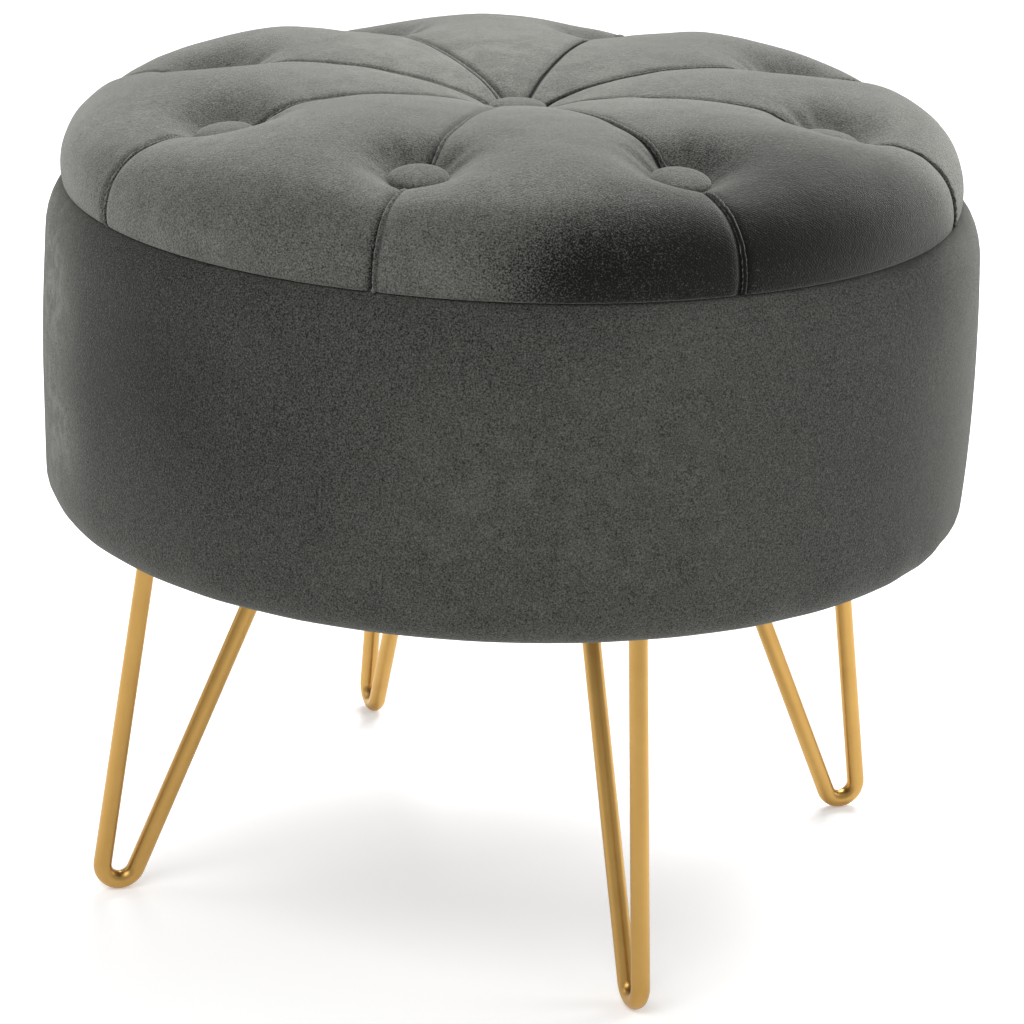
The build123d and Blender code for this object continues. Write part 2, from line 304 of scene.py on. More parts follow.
# one velvet in two copies: the lid's is painted lighter, for the light on its top, and the drum's
# darker, for its shaded side
lid_velvet = velvet(
    "lid_velvet", patchiness=0.08, rows=0.05, torn=0.35,
    shadow=grey(0.003), bright=grey(0.194), sheen=0.44,
)
drum_velvet_painted_darker = velvet(
    "drum_velvet_painted_darker", patchiness=0.07, rows=0.02, torn=1.0,
    shadow=grey(0.008), bright=grey(0.138), sheen=0.24,
)
print("velvets ready")

# %% [markdown]
# ## The hard finishes
#
# The legs are plated steel with a satin gold finish: nearly even, with a faint cloudiness from
# the polishing. Inside there are birch ply, black non-woven cloth, zinc-plated hardware, black
# bolts and foam. None of them is one flat colour.


# %% Hard finishes
PLY = 3.0 * MM


def satin_gold():
    """Plated rod, cloudy from the polishing and scuffed along its length."""
    f = Finish("satin_gold", Metallic=1.0)
    cloud = f.noise(55.0, 3.0, 0.55)
    scuff = f.noise(900.0, 2.0, 0.6, at=f.stretched((1.0, 1.0, 0.08)))
    f.feed("Base Color", f.blend(cloud, (0.43, 0.25, 0.072, 1.0), (0.54, 0.33, 0.104, 1.0)))
    f.feed("Roughness", 0.26 + 0.10 * cloud + 0.08 * scuff)
    f.bump(0.5 * scuff + 0.5 * cloud, 0.03 * MM)
    return f.material


def birch_ply():
    """Pale wood with long grain, short dark pores and its plies showing at the edges."""
    f = Finish("birch_ply", Specular_IOR_Level=0.3)
    grain = f.noise(30.0, 4.0, 0.6, 0.8, at=f.stretched((0.9, 14.0, 14.0)))
    pores = f.noise(700.0, 2.0, 0.6, at=f.stretched((0.08, 1.0, 1.0)))
    height = f.node("ShaderNodeSeparateXYZ", inputs={"Vector": f.place})["Z"]
    turns = height * (2 * math.pi / PLY)
    plies = turns.maths("SINE", turns)
    tone = (0.55 * grain + 0.25 * pores + 0.12 * plies).clamp()
    f.feed("Base Color", f.blend(tone, (0.44, 0.29, 0.155, 1.0), (0.74, 0.57, 0.37, 1.0)))
    f.feed("Roughness", 0.55 + 0.2 * grain)
    f.bump(grain + pores, 0.15 * MM)
    return f.material


def nonwoven(name, dark, light):
    """Pressed polypropylene cloth: tangled fibres with a grid of tiny weld dots."""
    f = Finish(name, Specular_IOR_Level=0.25, Sheen_Weight=0.15, Sheen_Roughness=0.5)
    fibres = f.noise(1100.0, 4.0, 0.7, 2.0)
    clouds = f.noise(120.0, 3.0, 0.6)
    spacing = {"Vector": f.place, "Scale": 520.0, "Randomness": 0.15}
    from_dot = f.node("ShaderNodeTexVoronoi", {"feature": "F1"}, spacing)["Distance"]
    weld = 1.0 - f.step(from_dot, 0.18, 0.34)
    tone = (0.25 + 0.5 * (fibres - 0.5) + 0.5 * clouds - 0.35 * weld).clamp()
    f.feed("Base Color", f.blend(tone, dark, light))
    f.feed("Roughness", 0.75 - 0.25 * weld)
    f.bump(0.5 * fibres - 0.6 * weld, 0.25 * MM)
    return f.material


def steel(name, metallic, clouds, scratches, dark, light, polish):
    """Plated or blacked steel, cloudy from its bath and finely scratched."""
    f = Finish(name, Metallic=metallic)
    cloud = f.noise(clouds, 3.0, 0.6)
    f.feed("Base Color", f.blend(cloud, dark, light))
    f.feed("Roughness", polish + 0.25 * cloud)
    f.bump(f.noise(scratches, 2.0), 0.04 * MM)
    return f.material


def twine_finish():
    """Pale waxed thread, twisted."""
    f = Finish("waxed_twine", Roughness=0.6)
    twist = f.noise(900.0, 2.0, at=f.stretched((1.0, 1.0, 3.0)))
    f.feed("Base Color", f.blend(twist, (0.42, 0.37, 0.27, 1.0), (0.72, 0.67, 0.54, 1.0)))
    f.bump(twist, 0.2 * MM)
    return f.material


def foam_finish():
    """Cream foam with open cells."""
    f = Finish("foam", Roughness=0.9)
    cells = f.noise(900.0, 3.0, 0.7)
    f.feed("Base Color", f.blend(cells, (0.55, 0.48, 0.32, 1.0), (0.86, 0.81, 0.66, 1.0)))
    f.bump(cells, 0.5 * MM)
    return f.material


gold = satin_gold()
ply = birch_ply()
black_lining = nonwoven("black_lining", (0.008, 0.008, 0.009, 1.0), (0.05, 0.05, 0.052, 1.0))
dust_cloth = nonwoven("dust_cloth", (0.010, 0.010, 0.011, 1.0), (0.075, 0.075, 0.078, 1.0))
zinc_plate = steel(
    "zinc_plate", metallic=1.0, clouds=160.0, scratches=900.0,
    dark=(0.42, 0.43, 0.44, 1.0), light=(0.66, 0.67, 0.67, 1.0), polish=0.28,
)
black_bolt = steel(
    "black_steel", metallic=0.7, clouds=240.0, scratches=1200.0,
    dark=(0.012, 0.012, 0.013, 1.0), light=(0.05, 0.05, 0.052, 1.0), polish=0.32,
)
waxed_twine = twine_finish()
foam = foam_finish()
print("hard finishes ready")

# %% [markdown]
# ## The lathe
#
# Nearly all of the soft goods are round, so they begin as a chain of points that the spin
# operator carries round the axis. A smooth line through a few stations gives the chain, and
# the spun mesh is then shaped by moving its points. Four small curves say where and how far:
# a bell round a place, a ramp up, a ramp down, and the turn from one bearing to another.

# %% Curves for shaping
def bell(far, width, power=2):
    """1 on the spot, falling smoothly to nothing a few widths away."""
    return np.exp(-((far / width) ** power))


def rise(value, start, run):
    """0 up to the start, then climbing evenly to 1 over the run."""
    return np.clip((value - start) / run, 0, 1)


def fall(value, end, run):
    """1 until one run before the end, then dropping evenly to 0 at the end."""
    return np.clip((end - value) / run, 0, 1)


def turn_from(way, angle):
    """The turn from one bearing to each of the others, the short way round."""
    return np.angle(np.exp(1j * (angle - way)))


# %% Shaping helpers
POINTS_AT_ONCE = 4096


def clear_selection():
    """Leave nothing selected."""
    for thing in bpy.context.selected_objects:
        thing.select_set(False)


def take(piece):
    """Make one piece the only selected and the active one."""
    clear_selection()
    piece.select_set(True)
    bpy.context.view_layer.objects.active = piece
    return piece


def flow(stations, spacing):
    """Points about one spacing apart on a smooth line through rows of stations."""
    rows = np.array(stations, float)
    ends = np.vstack([2 * rows[0] - rows[1], rows, 2 * rows[-1] - rows[-2]])
    line = [rows[0]]
    for before, start, stop, after in zip(ends, ends[1:], ends[2:], ends[3:]):
        count = max(1, round(float(np.linalg.norm((stop - start)[:2])) / spacing))
        for t in np.arange(1, count + 1) / count:
            bend = 2 * before - 5 * start + 4 * stop - after
            curl = 3 * start + after - before - 3 * stop
            line.append(0.5 * (2 * start + (stop - before) * t + bend * t**2 + curl * t**3))
    return np.array(line)


def strand(name, points):
    """A chain of points, extruded one after another from a single corner of a plane."""
    clear_selection()
    bpy.ops.mesh.primitive_plane_add(size=MM, location=(0, 0, 0))
    piece = bpy.context.object
    piece.name = name
    bpy.ops.object.mode_set(mode="EDIT")
    bpy.ops.mesh.merge(type="CENTER")
    at = Vector((0, 0, 0))
    for k, point in enumerate(points):
        move = Vector([float(v) for v in point]) - at
        if k == 0:
            bpy.ops.transform.translate(value=move)
        else:
            bpy.ops.mesh.extrude_region_move(TRANSFORM_OT_translate={"value": move})
        at += move
    bpy.ops.object.mode_set(mode="OBJECT")
    return piece


def lathe(name, chain, steps):
    """Spin a chain of (radius, height) points about Z."""
    piece = strand(name, [(radius, 0, height) for radius, height in chain])
    bpy.ops.object.mode_set(mode="EDIT")
    bpy.ops.mesh.select_all(action="SELECT")
    bpy.ops.mesh.spin(steps=steps, angle=2 * math.pi, center=(0, 0, 0), axis=(0, 0, 1))
    bpy.ops.mesh.select_all(action="SELECT")
    bpy.ops.mesh.remove_doubles(threshold=0.01 * MM)
    bpy.ops.mesh.normals_make_consistent(inside=False)
    bpy.ops.object.mode_set(mode="OBJECT")
    bpy.ops.object.shade_smooth()
    return piece


def points_of(piece):
    """A mesh's points as rows of x, y and z."""
    flat = np.zeros(len(piece.data.vertices) * 3)
    piece.data.vertices.foreach_get("co", flat)
    return flat.reshape(-1, 3)


def set_points(piece, points):
    """Move a mesh's points to these rows."""
    piece.data.vertices.foreach_set("co", np.ascontiguousarray(points, float).ravel())
    piece.data.update()


def polar(points):
    """Each point's distance from the axis and its bearing."""
    return np.hypot(points[:, 0], points[:, 1]), np.arctan2(points[:, 1], points[:, 0])


def from_polar(radius, angle, height):
    """Rows of x, y and z from distances, bearings and heights."""
    return np.stack([radius * np.cos(angle), radius * np.sin(angle), height], 1)


def nearest_on(chain, radius, height):
    """For each point, which link of the chain it was spun from."""
    found = np.empty(len(radius), int)
    for k in range(0, len(radius), POINTS_AT_ONCE):
        part = slice(k, k + POINTS_AT_ONCE)
        far = (radius[part, None] - chain[:, 0]) ** 2 + (height[part, None] - chain[:, 1]) ** 2
        found[part] = far.argmin(1)
    return found


def dress(piece, material, body):
    """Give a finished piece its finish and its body."""
    piece.data.materials.clear()
    piece.data.materials.append(material)
    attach(piece, body)
    return piece


def lumps(points, size, seed=0.0):
    """Smooth noise from -1 to 1 at each point, with lumps of about that size in metres."""
    shift = Vector((seed, 0.7 * seed, -0.4 * seed))
    return np.array([noise.noise(Vector(p) / size + shift) for p in points])


def paint_nap_light_and_shade(piece, strokes, nap_painted_light_and_shade=0.0):
    """Write the nap's painted light and shade, from strokes of (side, ahead, height, size, amount),
    in millimetres.
    """
    spots = points_of(piece)
    nap_painted_light_and_shade = nap_painted_light_and_shade + np.zeros(len(spots))
    for side, ahead, height, size, amount in strokes:
        centre = np.array(beside(side * MM, ahead * MM, height * MM))
        far = np.linalg.norm(spots - centre, axis=1)
        nap_painted_light_and_shade += amount * bell(far, size * MM)
    piece.data.attributes.new("nap_painted_light_and_shade", "FLOAT", "POINT").data.foreach_set("value", nap_painted_light_and_shade)


def copy_of(piece, name):
    """A second piece with its own copy of the mesh."""
    twin = piece.copy()
    twin.data = piece.data.copy()
    twin.name = name
    bpy.context.scene.collection.objects.link(twin)
    return twin


def apply_all(piece):
    """Apply a piece's modifiers from the top down."""
    take(piece)
    for modifier in list(piece.modifiers):
        bpy.ops.object.modifier_apply(modifier=modifier.name)


def subdivide(piece):
    """Round a mesh off once, with twice as many rings and columns."""
    modifier = piece.modifiers.new("Rounder", "SUBSURF")
    modifier.levels = 1
    apply_all(piece)


# %% [markdown]
# ## The tufted lid
#
# Eight velvet wedges are sewn edge to edge and pulled down over foam. Between two seams the
# cover swells into a petal, and the seam itself stays low. So two lines describe the lid: the
# seam's line and the petal's crest, both from the middle button to the lower edge. Every point
# lies between them, by how far it is from its seam. The rest of the chain goes under the board
# and back, so that the cushion is one closed form that holds the board in a slot.

# %% The lid's lines
# seam radius, seam height, crest radius, crest height: millimetres, heights over the lid's edge
LID_LINES = (
    (0.0, 34.6, 0.0, 34.6),
    (11.0, 35.0, 11.0, 35.0),
    (17.5, 38.6, 17.5, 39.2),
    (25.0, 41.4, 25.0, 42.6),
    (40.0, 45.4, 40.0, 47.6),
    (64.0, 48.6, 64.0, 52.8),
    (90.0, 50.5, 90.0, 55.9),
    (120.0, 49.8, 120.0, 56.7),
    (145.0, 47.6, 145.0, 56.4),
    (163.0, 45.2, 165.0, 54.9),
    (182.0, 41.6, 184.0, 51.6),
    (199.0, 38.2, 200.0, 46.6),
    (213.0, 34.0, 214.0, 40.0),
    (223.0, 26.6, 225.0, 30.6),
    (228.6, 18.0, 230.6, 21.0),
    (231.0, 9.0, 232.9, 11.0),
    (231.3, 3.0, 232.6, 3.4),
    (230.9, -0.4, 231.8, -0.6),
    (230.1, -1.7, 230.6, -1.9),
    (228.9, -1.0, 229.0, -1.0),
    (227.4, -0.2, 227.4, -0.2),
)
RING_SPACING = 3.0
under = 0.1
opening_r = 175.0
board_r = lid_board_high.x / MM + 0.2
slot_low = (lid_board_low.z - lid_z) / MM - 0.1
slot_high = (lid_board_high.z - lid_z) / MM + 0.2
back_line = [(r, under) for r in (226.0, 200.0, opening_r)]
back_line += [(r, slot_low) for r in (opening_r, 200.0, board_r)]
back_line += [(r, slot_high) for r in (board_r, 150.0, 75.0, 0.0)]
lid_lines = flow(LID_LINES, RING_SPACING)
top_count = len(lid_lines)
lid_lines = np.vstack([lid_lines, [(r, h, r, h) for r, h in back_line]])
print(f"{top_count} rings of cloth from the middle to the lower edge")

# %% [markdown]
# The columns of the spun mesh are then slid sideways, so that they crowd together near each
# seam, where the cloth bends most, and one of them lies exactly on it.

# %% Spin the lid and swell its petals
COLUMNS = 24
# how far each seam leans sideways beyond its button, and how full the petal after it is
SEAM_LEAN = np.radians((0.0, 0.0, 0.0, 2.0, 2.0, 0.0, -1.2, -0.8))
PETAL_FULL = (0.85, 0.8, 0.8, 0.8, 0.86, 0.92, 0.86, 0.75)
# the radius where the lean sets in, and the run over which it comes to its full
LEAN_FROM, LEAN_RUN = 172 * MM, 36 * MM
# the petal's profile from seam to seam: flat on top, and steep where it meets the seams
SWELL_FLAT, SWELL_STEEP = 2.2, 0.8
# the petal on the right is stuffed a little less, so the lid is slimmer there
SLIM = 3.2 * MM
SLIM_ARC = math.radians(24)
SLIM_FROM, SLIM_RUN = 190 * MM, 36 * MM
# puts a column that lies on a seam in the wedge after it, whatever the rounding
NEARLY = 1e-6


def lean(angle, radius):
    """How far the sewing has drifted from an even eighth, at an angle and a radius."""
    turn = np.mod((angle - lid_clock) / WEDGE, WEDGES)
    first = np.floor(turn).astype(int) % WEDGES
    part = turn - np.floor(turn)
    drift = SEAM_LEAN[first] * (1 - part) + SEAM_LEAN[(first + 1) % WEDGES] * part
    return drift * rise(radius, LEAN_FROM, LEAN_RUN)


lid_middle = (lid_lines[:, :2] + lid_lines[:, 2:]) / 2
cushion = lathe("lid_cushion", lid_middle * MM + (0, lid_z), WEDGES * COLUMNS)
spots = points_of(cushion)
radius, angle = polar(spots)
link = nearest_on(lid_middle * MM + (0, lid_z), radius, spots[:, 2])
column = angle / WEDGE * COLUMNS
wedge_number = np.floor(column / COLUMNS + NEARLY)
across = np.clip(2 * (column / COLUMNS - wedge_number) - 1, -1, 1)
crowd = 0.5 * across + 0.5 * np.sin(across * math.pi / 2)
angle = lid_clock + (wedge_number + (crowd + 1) / 2) * WEDGE
full = np.array(PETAL_FULL)[wedge_number.astype(int) % WEDGES]
swell = full * (1 - np.abs(crowd) ** SWELL_FLAT) ** SWELL_STEEP
seam_line, crest_line = lid_lines[link, :2] * MM, lid_lines[link, 2:] * MM
is_top = link < top_count
angle = angle + lean(angle, seam_line[:, 0])
slim = bell(turn_from(VIEW_AZIMUTH, angle), SLIM_ARC)
slim *= SLIM * is_top * rise(seam_line[:, 0], SLIM_FROM, SLIM_RUN)

# %% [markdown]
# Each tuft pulls a round hollow into the foam. A bell curve centred on the button, with a flat
# bottom a little wider than the button, draws the cloth down. The petals on each side of it
# swell less the nearer they are.

# %% Pull in the tufts
TUFT_DEPTH = 12.2 * MM
TUFT_WIDTH = 22.5 * MM
TUFT_FLAT = 2.6
TUFT_CALM = 32.0 * MM
tufts = np.array([(p.x, p.y) for p in button_spots[1:]])


def nearest_tuft(points):
    """For each point, its nearest button, the distance from it and the bearing round it."""
    away = points[:, None, :2] - tufts[None]
    far = np.hypot(away[..., 0], away[..., 1])
    near = far.argmin(1)
    rows = np.arange(len(points))
    return near, far[rows, near], np.arctan2(away[rows, near, 1], away[rows, near, 0])


def tuft_pull(far):
    """How far the cloth is drawn down at a distance from a button's middle."""
    return TUFT_DEPTH * bell(far, TUFT_WIDTH, TUFT_FLAT)


flat_spots = from_polar(seam_line[:, 0], angle, seam_line[:, 1])
near, tuft_far, bearing = nearest_tuft(flat_spots)
swell = swell * (1 - bell(tuft_far, TUFT_CALM))
line = seam_line + (crest_line - seam_line) * swell[:, None]
spots = from_polar(line[:, 0] - slim, angle, line[:, 1] + lid_z)
spots[is_top, 2] -= tuft_pull(tuft_far)[is_top]
set_points(cushion, spots)

# %% [markdown]
# Then the cloth is simulated for twenty frames. It is held along the seams, under the buttons
# and all round the board, and a little pressure fills the petals between them. How far a point
# may move is capped, so that the lid keeps its size.


# %% Let the cloth settle
PRESSURE, REACH = 2.0, 1.2 * MM
# held: this near to a seam, to a tuft's middle and to the lid's, and the last rings of the top
HOLD_SEAM, HOLD_TUFT, HOLD_MIDDLE, HOLD_RINGS = 1.5 * MM, 17 * MM, 16 * MM, 8


def settle(piece, held, pressure, reach, frames=20):
    """Run cloth with the held points fixed, and keep the shape with each move capped."""
    start = points_of(piece)
    group = piece.vertex_groups.new(name="held")
    group.add([int(k) for k in np.flatnonzero(held)], 1.0, "REPLACE")
    cloth = piece.modifiers.new("Cloth", "CLOTH")
    cloth.settings.vertex_group_mass = "held"
    cloth.settings.quality = 6
    cloth.settings.mass = 0.3
    cloth.settings.tension_stiffness = 12
    cloth.settings.compression_stiffness = 12
    cloth.settings.shear_stiffness = 6
    cloth.settings.bending_stiffness = 1.5
    cloth.settings.use_pressure = True
    cloth.settings.uniform_pressure_force = pressure
    cloth.settings.effector_weights.gravity = 0
    for number in range(1, frames + 1):
        bpy.context.scene.frame_set(number)
    graph = bpy.context.evaluated_depsgraph_get()
    settled = piece.evaluated_get(graph)
    end = np.zeros(len(start) * 3)
    settled.data.vertices.foreach_get("co", end)
    move = end.reshape(-1, 3) - start
    length = np.linalg.norm(move, axis=1, keepdims=True)
    move *= reach * np.tanh(length / reach) / np.maximum(length, 1e-9)
    piece.modifiers.remove(cloth)
    bpy.context.scene.frame_set(1)
    set_points(piece, start + move)
    print(f"{piece.name} settled, longest move {np.linalg.norm(move, axis=1).max() / MM:.1f} mm")


from_seam = (1 - np.abs(crowd)) * WEDGE / 2 * line[:, 0]
held = ~is_top | (from_seam < HOLD_SEAM) | (tuft_far < HOLD_TUFT) | (line[:, 0] < HOLD_MIDDLE)
held |= link > top_count - HOLD_RINGS
settle(cushion, held, PRESSURE, REACH)

# %% [markdown]
# One subdivision doubles the rings and columns. On the finer mesh the seams are pressed in as
# narrow creases, and gathers are raised round the tufts: deep close to the button on the side
# where the cloth climbs to the middle of the lid, and fading as they fan out.

# %% Creases and gathers
CREASE_DEEP, CREASE_WIDE = 2.6 * MM, 2.0 * MM
# from here outwards a crease is pressed in sideways as well as down
STEEP_FROM, STEEP_RUN = 190 * MM, 38 * MM
# each tuft's gathers: how many go round it and how high they stand, on a ring round the button
GATHERS = ((6, 0.5 * MM), (9, 0.45 * MM), (14, 0.35 * MM))
GATHER_RING, GATHER_WIDE = 21 * MM, 10 * MM
# the foam's slight unevenness: height, size of a lump, seed
LID_DENTS = ((0.7 * MM, 0.045, 3.0), (0.35 * MM, 0.018, 9.0))
# how dark the painted shade along a seam's crease is, and how wide
SEAM_PAINTED_SHADE, SEAM_SHADE_WIDE = -0.5, 1.6 * MM
# (side, ahead, height, size, amount) of each patch of painted light (amount above zero) or painted
# shade (below zero), in millimetres
LID_PAINTED_LIGHT_AND_SHADE = (
    (90, -228, 390, 54, -0.44), (28, -234, 382, 30, -0.34), (140, -168, 402, 66, -0.45),
    (185, -145, 386, 50, -0.45), (205, -120, 376, 34, -0.45), (216, -70, 403, 22, 0.1),
    (178, -45, 422, 60, 0.16), (-36, 50, 424, 100, 0.28), (60, -40, 424, 60, 0.14),
    (-148, -130, 416, 60, 0.14), (-133, -190, 395, 50, 0.02), (-50, -212, 405, 45, 0.1),
    (20, -200, 417, 36, 0.14), (-164, 19, 422, 60, -0.08), (-205, -60, 410, 45, 0.16),
)
subdivide(cushion)
spots = points_of(cushion)
radius, angle = polar(spots)
turn = (angle - lean(angle, radius) - lid_clock) / WEDGE
seam_side = (turn - np.round(turn)) * WEDGE * radius
clear_of_slot = spots[:, 2] > lid_z + slot_high * MM + 2 * MM
upward = clear_of_slot | (radius > board_r * MM + 0.5 * MM)
crease = CREASE_DEEP * bell(seam_side, CREASE_WIDE) * upward
steep = rise(radius, STEEP_FROM, STEEP_RUN) ** 2
spots[:, 2] -= crease * (1 - steep)
shrink = 1 - crease * steep / np.maximum(radius, MM)
spots[:, :2] *= shrink[:, None]
near, tuft_far, bearing = nearest_tuft(spots)
rng = np.random.default_rng(7)
for k, tuft in enumerate(tufts):
    mine = (near == k) & upward & clear_of_slot
    inward = math.atan2(-tuft[1], -tuft[0])
    facing = 0.45 + 0.55 * np.cos(bearing - inward)
    ring = bell(tuft_far - GATHER_RING, GATHER_WIDE)
    for folds, high in GATHERS:
        phase = rng.uniform(0, 2 * math.pi)
        spots[mine, 2] += (high * ring * facing * np.cos(folds * bearing + phase))[mine]
dents = sum(high * lumps(spots, size, seed) for high, size, seed in LID_DENTS)
spots[upward & clear_of_slot, 2] += dents[upward & clear_of_slot]
set_points(cushion, spots)
# the nap gets the listed patches of painted light and shade, and painted shade along each seam's
# crease
paint_nap_light_and_shade(cushion, LID_PAINTED_LIGHT_AND_SHADE, SEAM_PAINTED_SHADE * bell(seam_side, SEAM_SHADE_WIDE) * upward)
dress(cushion, lid_velvet, "lid")
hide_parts("lid_foam", *[f"lid_panel_{k}" for k in range(1, 9)])
print(f"lid cushion has {len(cushion.data.polygons)} faces")

# %% [markdown]
# ## The seams' folds
#
# Two wedges are sewn face to face and turned out, so a seam is a dark line with a slim fold of
# gathered cloth lying beside it. The fold is a tube that follows the cushion's own surface. A
# strand of points is laid on the cushion, made a curve, given a round section and made a mesh
# again, and the thread's pull is drawn on it as small uneven puckers.

# %% Lay a fold along each seam
FOLD_R, FOLD_SIDE = 1.15 * MM, 1.2 * MM
FOLD_SUNK = 0.35
# a fold starts outside the middle button and stops short of a tuft's button on either side
FOLD_FROM, FOLD_CLEAR, FOLD_END = 15 * MM, 13 * MM, -1.0 * MM
PUCKER_HIGH, PUCKER_LONG = 0.22 * MM, 3.1 * MM
# the folds' nap is painted shade, so the seams read as dark lines
FOLD_PAINTED_SHADE = -0.16


def laid_on(piece, points, lift):
    """Each point moved to the piece's surface and lifted off it along the surface's normal."""
    found = [piece.closest_point_on_mesh(Vector(p)) for p in points]
    return np.array([at + normal * lift for hit, at, normal, face in found])


def tube(piece, radius):
    """Make a strand a round tube."""
    take(piece)
    bpy.ops.object.convert(target="CURVE")
    piece = bpy.context.object
    piece.data.bevel_depth = radius
    piece.data.bevel_resolution = 2
    piece.data.use_fill_caps = True
    bpy.ops.object.convert(target="MESH")
    bpy.ops.object.shade_smooth()
    return bpy.context.object


def pucker(piece, size, length, seed):
    """Raise small uneven puckers along a tube."""
    spots = points_of(piece)
    normals = np.zeros(len(spots) * 3)
    piece.data.vertex_normals.foreach_get("vector", normals)
    along = np.hypot(spots[:, 0], spots[:, 1]) + spots[:, 2]
    wave = np.sin(2 * math.pi * along / length + 2.5 * lumps(spots, 0.012, seed))
    set_points(piece, spots + normals.reshape(-1, 3) * (size * wave)[:, None])


seam_points = flow(LID_LINES, 1.0)[:, :2] * MM
seam_r, seam_high = seam_points.T
runs = (
    seam_points[(seam_r > FOLD_FROM) & (seam_r < tuft_ring - FOLD_CLEAR)],
    seam_points[(seam_r > tuft_ring + FOLD_CLEAR) & (seam_high > FOLD_END)],
)
for k in range(WEDGES):
    strands = []
    for run in runs:
        way = lid_clock + k * WEDGE + SEAM_LEAN[k] * rise(run[:, 0], LEAN_FROM, LEAN_RUN)
        path = from_polar(run[:, 0], way + FOLD_SIDE / run[:, 0], run[:, 1] + lid_z)
        path[:, 2] -= tuft_pull(np.abs(run[:, 0] - tuft_ring))
        path = laid_on(cushion, path, FOLD_SUNK * FOLD_R)
        strands.append(tube(strand(f"seam_fold_{k + 1}", path), FOLD_R))
    take(strands[0])
    strands[1].select_set(True)
    bpy.ops.object.join()
    fold = bpy.context.object
    fold.name = f"seam_fold_{k + 1}"
    pucker(fold, PUCKER_HIGH, PUCKER_LONG, k)
    paint_nap_light_and_shade(fold, LID_PAINTED_LIGHT_AND_SHADE, FOLD_PAINTED_SHADE)
    dress(fold, lid_velvet, "lid")
print(f"{WEDGES} seam folds laid")

# %% [markdown]
# ## Covered buttons
#
# A covered button is a shallow metal dome with the same velvet drawn over it and gathered in
# behind. One is turned on the lathe, its gathers are pressed into its back edge, and the others
# are copies. The outer ones tip outwards with the slope of the foam, each by a slightly
# different angle, and stand a little higher than the middle one.

# %% Turn the buttons
BUTTON_LINE = (
    (0.0, -6.0), (2.3, -6.0), (2.4, -0.2), (9.0, 0.0), (12.8, 0.2), (14.5, 1.1), (15.0, 2.6),
    (14.7, 3.9), (13.6, 5.0), (11.2, 6.0), (7.5, 6.7), (3.5, 7.05), (0.0, 7.1),
)
BUTTON_RINGS, BUTTON_COLUMNS = 0.9, 64
# the gathers behind: how high they stand, where up the dome they end and over what run, and
# the radius inside which the back stays smooth
PLEAT_HIGH, PLEAT_END, PLEAT_RUN, PLEAT_IN = 0.28 * MM, 4.2 * MM, 4 * MM, 8 * MM
# a button's height over its back, how far the outer ones stand up, and their tip in degrees
BUTTON_TALL, BUTTON_LIFT = 7.0 * MM, 2.2 * MM
BUTTON_TIP = (7.5, 10.5)
# painted shade on the front buttons: (side, ahead, height, size, amount), in millimetres
BUTTON_PAINTED_SHADE = ((-60, -160, 410, 50, -0.22), (80, -145, 410, 50, -0.05))
base_button = lathe(
    "button_centre_velvet", flow(BUTTON_LINE, BUTTON_RINGS) * MM, BUTTON_COLUMNS
)
spots = points_of(base_button)
radius, angle = polar(spots)
behind = fall(spots[:, 2], PLEAT_END, PLEAT_RUN) * (radius > PLEAT_IN)
gather = PLEAT_HIGH * behind * (np.cos(22 * angle) + 0.6 * np.cos(13 * angle + 1.0))
spots[:, :2] *= (1 + gather / np.maximum(radius, MM))[:, None]
spots[:, 2] += 0.12 * MM * lumps(spots, 0.006, 5.0) * (spots[:, 2] > 3 * MM)
set_points(base_button, spots)
button_shape = points_of(base_button)
rng = np.random.default_rng(21)
for k, (name, spot) in enumerate(zip(button_names, button_spots)):
    button = base_button if k == 0 else copy_of(base_button, f"{name}_velvet")
    back_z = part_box(name)[1].z - BUTTON_TALL
    out = math.atan2(spot.y, spot.x) + rng.uniform(-0.3, 0.3)
    tip = math.radians(rng.uniform(*BUTTON_TIP)) if k else 0.0
    axis = Vector((-math.sin(out), math.cos(out), 0))
    turned = button_shape @ np.array(Matrix.Rotation(tip, 3, axis)).T
    set_points(button, turned + (spot.x, spot.y, back_z + BUTTON_LIFT * (k > 0)))
    paint_nap_light_and_shade(button, BUTTON_PAINTED_SHADE)
    dress(button, lid_velvet, "lid")
    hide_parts(name)
print("nine covered buttons")

# %% [markdown]
# ## The drum's cover
#
# The drum is a bent plywood wall wrapped in thin foam, and velvet is pulled over both and
# stapled under the base board. Its section is one closed line: out over the lower corner, up
# the side, which the foam makes bulge a little, over the rim, and back down against the wood.


# %% The drum's line
def corner(centre, reach, start, stop, count=7):
    """Points on a quarter of an ellipse, in degrees from the outward direction."""
    turns = np.radians(np.linspace(start, stop, count))
    return [(centre[0] + reach[0] * math.cos(t), centre[1] + reach[1] * math.sin(t)) for t in turns]


LOW_CORNER = (12.0, 20.0)
SHOULDER = (16.0, 27.0)
BULGE = 1.5
OFF_WOOD = 0.1
# the cover ends under the board at one radius and on top of the rim at the other
UNDER_EDGE, RIM_EDGE = 212.0, 222.0
wide, low, top = drum_r / MM, drum_low.z / MM, drum_high.z / MM
wood, hoop_out = wall_r / MM + OFF_WOOD, hoop_r / MM + OFF_WOOD
side_low, side_high = low + LOW_CORNER[1], top - SHOULDER[1]
side = [
    (wide + BULGE * math.sin(math.pi * (z - side_low) / (side_high - side_low)), z)
    for z in np.linspace(side_low, side_high, 27)[1:-1]
]
outer = [(UNDER_EDGE, low), (UNDER_EDGE + 8.0, low)]
outer += corner((wide - LOW_CORNER[0], side_low), LOW_CORNER, -90, 0)
outer += side
outer += corner((wide - SHOULDER[0], side_high), SHOULDER, 0, 90, 9)
outer += [(RIM_EDGE, top)]
board_side, wall_over = board_low / MM + OFF_WOOD, wall_top / MM + OFF_WOOD
